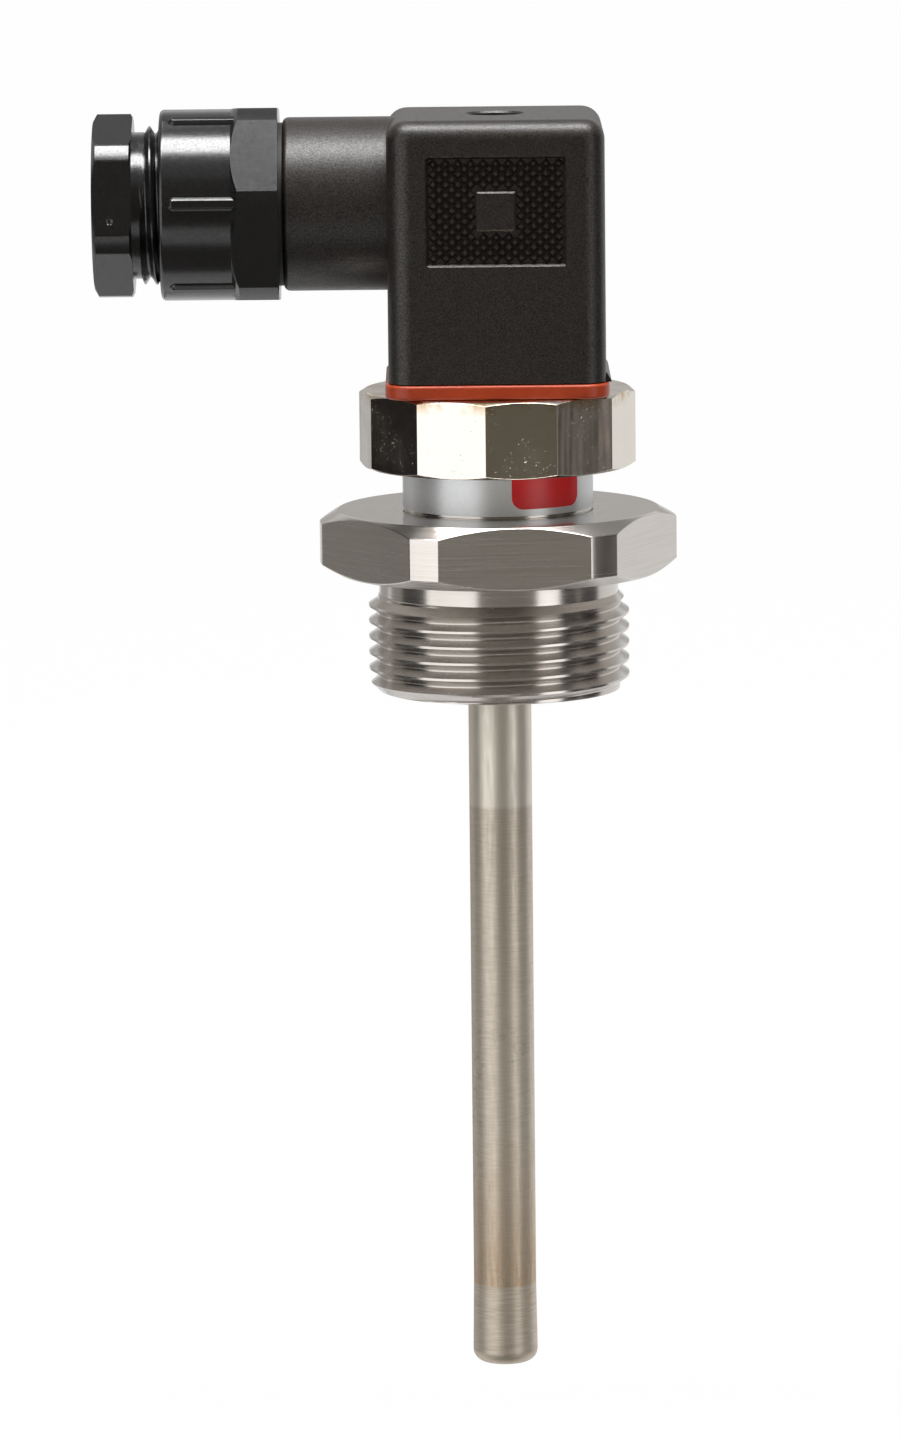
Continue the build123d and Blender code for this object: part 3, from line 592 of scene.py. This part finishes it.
def unionNut():
    low, high, chamfer = nut["low"], nut["high"], nut["chamfer"]
    radius, inner, hole = nut["corner"] / 2, nut["socket"] / 2, nut["hole"] / 2
    bm = lathe([
        (hole, low), (radius - chamfer / chamferSlope, low), (radius, low + chamfer),
        (radius, high - chamfer), (radius - chamfer / chamferSlope, high),
        (inner, high), (inner, nut["shelf"]), (hole, nut["shelf"]),
    ], nut["steps"])
    apothem = radius * math.cos(math.pi / nut["sides"])
    cutFlats(bm, 2 * apothem, nut["sides"], nut["turn"])
    softenEdges(bm, nut["edge"])
    finishPiece(toObject(bm, "unionNut"), "probe", "nickel_plate", ["union_nut"])


unionNut()
print("union nut done")


# Compression screw of the gland, along the cable's axis

cableAxis = Matrix(((0, 0, -1, 0), (-1, 0, 0, 0), (0, 1, 0, 46.7 * mm), (0, 0, 0, 1)))
screw = {"start": 37.15, "neckStart": 44.05, "headStart": 45.45, "end": 50.4, "neck": 18.4,
         "acrossFlats": 21.2, "turned": 23.0, "turn": 40.2, "bore": 13.0, "mouth": 0.8, "inner": 0.25,
         "outer": 0.5, "edge": 0.2, "gate": (48.1, -4.6, 11.58), "gateSize": 0.75, "steps": 144}
screwThread = {"radius": 9.95, "pitch": 1.5, "depth": 0.9, "crest": 0.2, "root": 0.2, "crestAt": 42.975,
               "coreGap": 0.25, "startGap": 0.02, "endReach": 0.42, "leadGap": 0.05, "endGap": 0.02,
               "endSlope": 2.5, "steps": 128}


def compressionScrew():
    part, thread = screw, screwThread
    radius, bore, neck = part["turned"] / 2, part["bore"] / 2, part["neck"] / 2
    inner, outer, mouth, end = part["inner"], part["outer"], part["mouth"], part["end"]
    core = thread["radius"] - thread["depth"] - thread["coreGap"]
    bm = lathe([
        (0, part["start"]), (core, part["start"]), (core, part["neckStart"]), (neck, part["neckStart"]),
        (neck, part["headStart"]), (radius - inner / chamferSlope, part["headStart"]),
        (radius, part["headStart"] + inner), (radius, end - outer),
        (radius - outer / chamferSlope, end), (bore + mouth, end), (bore, end - mouth), (0, end - mouth),
    ], part["steps"])
    cutFlats(bm, part["acrossFlats"], 6, part["turn"])
    softenEdges(bm, part["edge"])
    obj = toObject(bm, "compressionScrew")
    low, high = part["start"] + thread["startGap"], part["neckStart"] + thread["endReach"]
    bm = threadedRod(thread, low, high, thread["steps"])
    keepInside(bm, lambda height: min(
        thread["radius"] - thread["depth"] + thread["leadGap"] + (height - low),
        neck + thread["endGap"] + thread["endSlope"] * (high - height)))
    combine(obj, toObject(bm, "screwThreadBlank"), "UNION")
    combine(obj, toObject(rod(bore, part["start"] - past, end + past), "screwBoreBlank"), "DIFFERENCE")
    level, turn, out = part["gate"]
    bm = bmesh.new()
    bmesh.ops.create_icosphere(bm, subdivisions=3, radius=part["gateSize"] * mm)
    gate = Matrix.Rotation(math.radians(turn), 4, "Z") @ Matrix.Translation((out * mm, 0, level * mm))
    combine(obj, toObject(bm, "gateMark", gate), "DIFFERENCE")
    obj.data.transform(cableAxis)
    finishPiece(obj, "gland_screw", "gland_plastic", ["compression_screw"])


compressionScrew()
print("compression screw done")


# Gland body: hexagon, ribbed barrel and spigot, on the same axis

gland = {"spigotStart": 17.15, "spigot": 16.0, "start": 27.15, "shoulder": 32.15, "barrelStart": 33.05,
         "end": 42.05, "acrossFlats": 24.0, "turned": 26.1, "chamfer": 0.12, "turn": 5.4, "barrel": 23.98,
         "barrelEdge": 0.6, "barrelRise": 0.3, "cableBore": 11.2, "coneStart": 27.45, "seatStart": 28.95,
         "seat": 17.2, "threadBore": 20.1, "edge": 0.22, "edgeDegrees": 20, "steps": 144, "boreSteps": 120}
rib = {"count": 6, "width": 1.75, "height": 0.5, "length": 8.75, "slope": 0.42, "edge": 0.08, "sink": 0.2,
       "endSteps": 16}


def ribBlank(angle):
    # a bar along the barrel with a round end
    half, low, high = rib["width"] / 2, gland["shoulder"] - rib["sink"], gland["shoulder"] + rib["length"]
    outline = [(-half, low), (half, low)]
    for step in range(rib["endSteps"] + 1):
        bend = math.pi * step / rib["endSteps"]
        outline.append((half * math.cos(bend), high - half + half * math.sin(bend)))
    bm = bmesh.new()
    inner = gland["barrel"] / 2 - rib["height"]
    face = bm.faces.new([bm.verts.new((inner * mm, side * mm, level * mm)) for side, level in outline])
    raised = bmesh.ops.extrude_face_region(bm, geom=[face])["geom"]
    top = [item for item in raised if isinstance(item, bmesh.types.BMVert)]
    bmesh.ops.translate(bm, vec=(2 * rib["height"] * mm, 0, 0), verts=top)
    bmesh.ops.recalc_face_normals(bm, faces=bm.faces[:])
    rim = [edge for edge in sharpEdges(bm, bevelDegrees) if all(vert in top for vert in edge.verts)]
    bevelEdges(bm, rim, rib["slope"], 1)
    softenEdges(bm, rib["edge"])
    return toObject(bm, "ribBlank", Matrix.Rotation(angle, 4, "Z"))


def glandBody():
    part = gland
    radius, barrel, spigot = part["turned"] / 2, part["barrel"] / 2, part["spigot"] / 2
    bm = lathe([
        (0, part["spigotStart"]), (spigot, part["spigotStart"]), (spigot, part["start"]),
        (radius - part["chamfer"], part["start"]), (radius, part["start"] + part["chamfer"]),
        (radius, part["shoulder"]), (barrel, part["barrelStart"]), (0, part["barrelStart"]),
    ], part["steps"])
    cutFlats(bm, part["acrossFlats"], 6, part["turn"])
    softenEdges(bm, part["edge"], part["edgeDegrees"], 3)
    obj = toObject(bm, "glandBody")
    rise = part["shoulder"] + part["barrelRise"]
    bm = lathe([(0, rise), (barrel, rise)] + roundEdge(barrel, part["end"], part["barrelEdge"], 6)
               + [(0, part["end"])], part["steps"])
    combine(obj, toObject(bm, "barrelBlank"), "UNION")
    for number in range(rib["count"]):
        combine(obj, ribBlank(math.radians(part["turn"] + number * 360 / rib["count"])), "UNION")
    cable, seat, bore = part["cableBore"] / 2, part["seat"] / 2, part["threadBore"] / 2
    low, high = part["spigotStart"] - past, part["end"] + past
    bm = lathe([
        (0, low), (cable, low), (cable, part["coneStart"]), (seat, part["seatStart"]),
        (seat, part["barrelStart"]), (bore, part["barrelStart"]), (bore, high), (0, high),
    ], part["boreSteps"])
    combine(obj, toObject(bm, "glandBoreBlank"), "DIFFERENCE")
    obj.data.transform(cableAxis)
    finishPiece(obj, "plug", "gland_plastic", ["gland_body"])


glandBody()
print("gland body done")


# Plug housing: rounded block with a foot and a cable boss, hollow from below, a grip panel front and back

housing = {"half": 13.6, "corner": 3.0, "low": 25.0, "high": 57.9, "topRound": 2.5, "topSteps": 9,
           "lowEdge": 0.15, "wall": 2.0, "topWall": 2.9, "cavityCorner": 1.5, "column": 4.6,
           "columnLow": 39.3, "well": 3.5, "wellFloor": 52.0, "wellEdge": 0.25, "wellSteps": 96,
           "screwHole": 1.65, "cable": 46.7, "boss": 10.9, "bossEnd": 26.65, "bossEdge": 0.8,
           "bossSteps": 144, "spigotBore": 8.05}
foot = {"reach": 0.65, "height": 1.3, "edge": 0.2, "halfWidth": 10.6}
grip = {"halfWidth": 8.8, "halfHeight": 6.9, "corner": 0.45, "depth": 0.6, "slope": 0.3, "draft": 0.1,
        "pad": 2.45, "padSlope": 0.2, "padFoot": 0.1, "padCorners": (0.15, 0.12, 0.1), "padTop": -0.01,
        "padSink": 0.2, "across": 1.56, "rise": 1.31, "rows": 9, "columns": 6, "margin": 0.95,
        "stud": 0.7, "studTop": 0.24, "studHeight": 0.46, "studSink": 0.04, "padGap": 0.45}
panelSides = [
    Matrix(((way, 0, 0, 0), (0, 0, -way, -way * housing["half"] * mm),
            (0, 1, 0, housing["cable"] * mm), (0, 0, 0, 1)))
    for way in (1, -1)
]


def housingShell():
    part = housing
    half, corner, top, edge = part["half"], part["corner"], part["topRound"], part["lowEdge"]
    rings = [roundedRing(half - edge, half - edge, corner - edge, part["low"]),
             roundedRing(half, half, corner, part["low"] + edge)]
    for step in range(part["topSteps"] + 1):
        bend = math.pi / 2 * step / part["topSteps"]
        inset = top * (1 - math.cos(bend))
        level = part["high"] - top * (1 - math.sin(bend))
        rings.append(roundedRing(half - inset, half - inset, corner - inset, level))
    return toObject(loft(rings), "plugHousing")


def footWedge():
    low, inner, outer = housing["low"], housing["half"] - foot["reach"], housing["half"] + foot["reach"]
    outline = [(inner, low), (outer, low), (outer, low + foot["edge"]),
               (housing["half"], low + foot["height"]), (inner, low + foot["height"])]
    rings = [[(x * mm, y * mm, z * mm) for x, z in outline]
             for y in (-foot["halfWidth"], foot["halfWidth"])]
    return toObject(loft(rings), "footWedge")


def cableBoss():
    part = housing
    inner = part["half"] - part["wall"] + overlap
    outline = [(0, inner), (part["boss"], inner)]
    outline += roundEdge(part["boss"], part["bossEnd"], part["bossEdge"], 8) + [(0, part["bossEnd"])]
    return toObject(lathe(outline, part["bossSteps"]), "bossBlank", cableAxis)


def gripRecess(side):
    wide, tall, corner = grip["halfWidth"], grip["halfHeight"], grip["corner"]
    slope, draft = grip["slope"], grip["draft"]
    return toObject(loft([
        roundedRing(wide + overlap, tall + overlap, corner + overlap, overlap, 4),
        roundedRing(wide - slope, tall - slope, corner - slope, -slope, 4),
        roundedRing(wide - slope - draft, tall - slope - draft, corner - slope - draft, -grip["depth"], 4),
    ]), "recessBlank", side)


def gripPad(side):
    pad, slope = grip["pad"], grip["padSlope"]
    wide = pad + grip["padFoot"]
    low, middle, high = grip["padCorners"]
    return toObject(loft([
        roundedRing(wide, wide, low, -grip["depth"] - grip["padSink"], 2),
        roundedRing(pad, pad, middle, -slope, 2),
        roundedRing(pad - slope, pad - slope, high, grip["padTop"], 2),
    ]), "padBlank", side)


def gripStuds():
    # rows of small pyramids, each second row set between
    bm = bmesh.new()
    clear, sink = grip["pad"] + grip["padGap"], grip["studSink"]
    middle = (grip["studHeight"] - sink) / 2 - grip["depth"]
    for side in panelSides:
        for row in range(-grip["rows"], grip["rows"] + 1):
            height = row * grip["rise"] / 2
            shift = 0.0 if row % 2 else grip["across"] / 2
            for column in range(-grip["columns"], grip["columns"]):
                across = column * grip["across"] + shift
                onPad = abs(across) < clear and abs(height) < clear
                if onPad or abs(across) > grip["halfWidth"] - grip["margin"]:
                    continue
                bmesh.ops.create_cone(
                    bm, cap_ends=True, segments=4, radius1=grip["stud"] * mm, radius2=grip["studTop"] * mm,
                    depth=(grip["studHeight"] + sink) * mm,
                    matrix=side @ Matrix.Translation((across * mm, height * mm, middle * mm)))
    finishPiece(toObject(bm, "gripStuds"), "plug", "housing_plastic", [])


def plugHousing():
    part = housing
    obj = housingShell()
    combine(obj, footWedge(), "UNION")
    combine(obj, cableBoss(), "UNION")
    for side in panelSides:
        combine(obj, gripRecess(side), "DIFFERENCE")
        combine(obj, gripPad(side), "UNION")
    inner, ceiling = part["half"] - part["wall"], part["high"] - part["topWall"]
    cavity = [roundedRing(inner, inner, part["cavityCorner"], level)
              for level in (part["low"] - past, ceiling)]
    combine(obj, toObject(loft(cavity), "cavityBlank"), "DIFFERENCE")
    column = rod(part["column"], part["columnLow"], ceiling + overlap)
    combine(obj, toObject(column, "columnBlank"), "UNION")
    well, edge, top, floorZ = part["well"], part["wellEdge"], part["high"], part["wellFloor"]
    bm = lathe([(0, floorZ), (well, floorZ), (well, top - edge), (well + edge + overlap, top + overlap),
                (0, top + overlap)], part["wellSteps"])
    combine(obj, toObject(bm, "wellBlank"), "DIFFERENCE")
    screwHole = rod(part["screwHole"], part["columnLow"] - past, top)
    combine(obj, toObject(screwHole, "screwHoleBlank"), "DIFFERENCE")
    spigotBore = rod(part["spigotBore"], inner - 2 * past, part["bossEnd"] + past)
    combine(obj, toObject(spigotBore, "spigotBoreBlank", cableAxis), "DIFFERENCE")
    finishPiece(obj, "plug", "housing_plastic", ["plug_housing"])


plugHousing()
gripStuds()
print("plug housing done")


# Studio: camera, lamps, cards, floor and world

view = {"target": (-6.35, 0, -19.5), "distance": 1000, "pitch": 8.82, "roll": 0.58, "lens": 196.05,
        "sensor": 36}
pitch = math.radians(view["pitch"])
cameraData = bpy.data.cameras.new("camera")
cameraData.lens = view["lens"]
cameraData.sensor_width = view["sensor"]
camera = bpy.data.objects.new("camera", cameraData)
bpy.context.scene.collection.objects.link(camera)
back = Vector((0, -math.cos(pitch), math.sin(pitch)))
camera.location = Vector(view["target"]) * mm + view["distance"] * mm * back
aim = Matrix.Rotation(math.pi / 2 - pitch, 4, "X") @ Matrix.Rotation(-math.radians(view["roll"]), 4, "Z")
camera.rotation_euler = aim.to_euler()
bpy.context.scene.camera = camera

# azimuth 0 is the camera's side and minus is left; metres and degrees, glow is what a mirror shows
lamps = {
    "keySoftbox": dict(azimuth=-47.5, elevation=-3, distance=0.9, size=(0.9, 1.5), glow=0.82),
    "rightStrip": dict(azimuth=48.5, elevation=-3, distance=0.9, size=(0.37, 1.5), glow=1.0),
    "overheadSoftbox": dict(azimuth=0, elevation=82.5, distance=0.9, size=(1.0, 0.34), glow=20.0),
}
cards = {
    "frontCard": dict(azimuth=8, elevation=-3, distance=1.1, size=(1.22, 2.0), colour="#6a655a"),
    "rightCard": dict(azimuth=85.5, elevation=-3, distance=1.0, size=(0.93, 2.0), colour="#3d3a38"),
    "rightGleam": dict(azimuth=82.4, elevation=-3, distance=0.97, size=(0.07, 2.0), colour="#a39d98"),
    "leftFarCard": dict(azimuth=-117, elevation=-3, distance=1.0, size=(0.36, 2.0), colour="#a09c98"),
    "backLeftCard": dict(azimuth=-148, elevation=-3, distance=1.0, size=(0.5, 2.0), colour="#b8b6b4"),
    "backCard": dict(azimuth=180, elevation=9, distance=0.7, size=(0.5, 0.16), colour="#bdbbb9"),
    "flankLightLeft": dict(azimuth=-156, elevation=60, distance=1.0, size=(0.2, 0.3),
                           colour="#ffffff", glow=2.2),
    "flankLightRight": dict(azimuth=155, elevation=61, distance=1.0, size=(0.1, 0.3),
                            colour="#ffffff", glow=2.2),
    "flankDarkMiddle": dict(azimuth=178.6, elevation=-50, distance=0.5, size=(0.075, 0.3),
                            colour="#5f5b52"),
    "flankDarkLeft": dict(azimuth=-164, elevation=-42, distance=0.5, size=(0.06, 0.3), colour="#4a4743"),
    "flankDarkRight": dict(azimuth=167.5, elevation=-45, distance=0.5, size=(0.05, 0.3), colour="#4a4743"),
    "leftCard": dict(azimuth=-90.5, elevation=-3, distance=1.0, size=(0.59, 2.0), colour="#262524"),
    "tableCard": dict(azimuth=0, elevation=-60, distance=0.36, size=(1.2, 0.3), colour="#75726f"),
}


def placeAround(obj, entry):
    azimuth, elevation = math.radians(entry["azimuth"]), math.radians(entry["elevation"])
    away = Vector((math.sin(azimuth) * math.cos(elevation), -math.cos(azimuth) * math.cos(elevation),
                   math.sin(elevation)))
    obj.location = entry["distance"] * away
    obj.rotation_euler = away.to_track_quat("Z", "Y").to_euler()
    obj.visible_camera = False
    bpy.context.scene.collection.objects.link(obj)


for name, entry in lamps.items():
    lamp = bpy.data.lights.new(name, "AREA")
    lamp.shape = "RECTANGLE"
    lamp.size, lamp.size_y = entry["size"]
    lamp.energy = entry["glow"] * math.pi * entry["size"][0] * entry["size"][1]
    placeAround(bpy.data.objects.new(name, lamp), entry)


def stagePlane(name, size, material):
    bm = bmesh.new()
    bmesh.ops.create_grid(bm, x_segments=1, y_segments=1, size=0.5)
    bmesh.ops.scale(bm, vec=(size[0], size[1], 1), verts=bm.verts[:])
    mesh = bpy.data.meshes.new(name)
    bm.to_mesh(mesh)
    bm.free()
    mesh.materials.append(material)
    obj = bpy.data.objects.new(name, mesh)
    return obj


for name, entry in cards.items():
    glow = entry.get("glow", 1.0)
    paint, _, shader, _ = newMaterial(name + "Paint", Roughness=1.0, Emission_Strength=glow)
    shader.inputs["Base Color"].default_value = (0, 0, 0, 1)
    shader.inputs["Emission Color"].default_value = linear(entry["colour"])
    shader.inputs["Specular IOR Level"].default_value = 0.0
    placeAround(stagePlane(name, entry["size"], paint), entry)

# the floor is mostly a plain white to the camera and in mirrors, and lit as usual for other rays
floorLook = {"z": -400, "size": 60.0, "white": 0.85, "glow": 1.12, "roughness": 0.9, "colour": "#f2f2f2"}
paint, tree, shader, _ = newMaterial("floorPaint", Roughness=floorLook["roughness"])
shader.inputs["Base Color"].default_value = linear(floorLook["colour"])
rays = addNode(tree, "LightPath")
emission = addNode(tree, "Emission", {"Color": (1, 1, 1, 1), "Strength": floorLook["glow"]})
seen = calculate(tree, "MAXIMUM", rays.outputs["Is Camera Ray"], rays.outputs["Is Glossy Ray"])
seen = calculate(tree, "MAXIMUM", seen, rays.outputs["Is Transmission Ray"])
share = calculate(tree, "MULTIPLY", seen, floorLook["white"])
mixed = addNode(tree, "MixShader", {0: share, 1: shader.outputs[0], 2: emission.outputs[0]})
tree.links.new(mixed.outputs[0], tree.nodes["Material Output"].inputs["Surface"])
floor = stagePlane("floor", (floorLook["size"], floorLook["size"]), paint)
floor.location.z = floorLook["z"] * mm
bpy.context.scene.collection.objects.link(floor)

# the world is white to the camera, darker overhead in mirrors and dim as fill light
world = bpy.data.worlds.new("studio")
bpy.context.scene.world = world
world.use_nodes = True
tree = world.node_tree
fill = {"diffuse": 0.25, "low": 0.95, "high": 0.16, "highFrom": 0.3, "highTo": 0.6}
rays = addNode(tree, "LightPath")
upwards = heightOf(tree, addNode(tree, "TexCoord").outputs["Generated"])
above = ramp(tree, upwards, fill["highFrom"], fill["highTo"], fill["low"], fill["high"])
mirrored = calculate(tree, "MULTIPLY", rays.outputs["Is Glossy Ray"], above)
seen = calculate(tree, "MAXIMUM", rays.outputs["Is Camera Ray"], mirrored)
seen = calculate(tree, "MAXIMUM", seen, rays.outputs["Is Transmission Ray"])
strength = calculate(tree, "MULTIPLY_ADD", seen, 1 - fill["diffuse"], fill["diffuse"])
background = tree.nodes["Background"]
background.inputs["Color"].default_value = (1, 1, 1, 1)
tree.links.new(strength, background.inputs["Strength"])
bpy.context.scene.view_settings.view_transform = "Standard"
print("studio done")
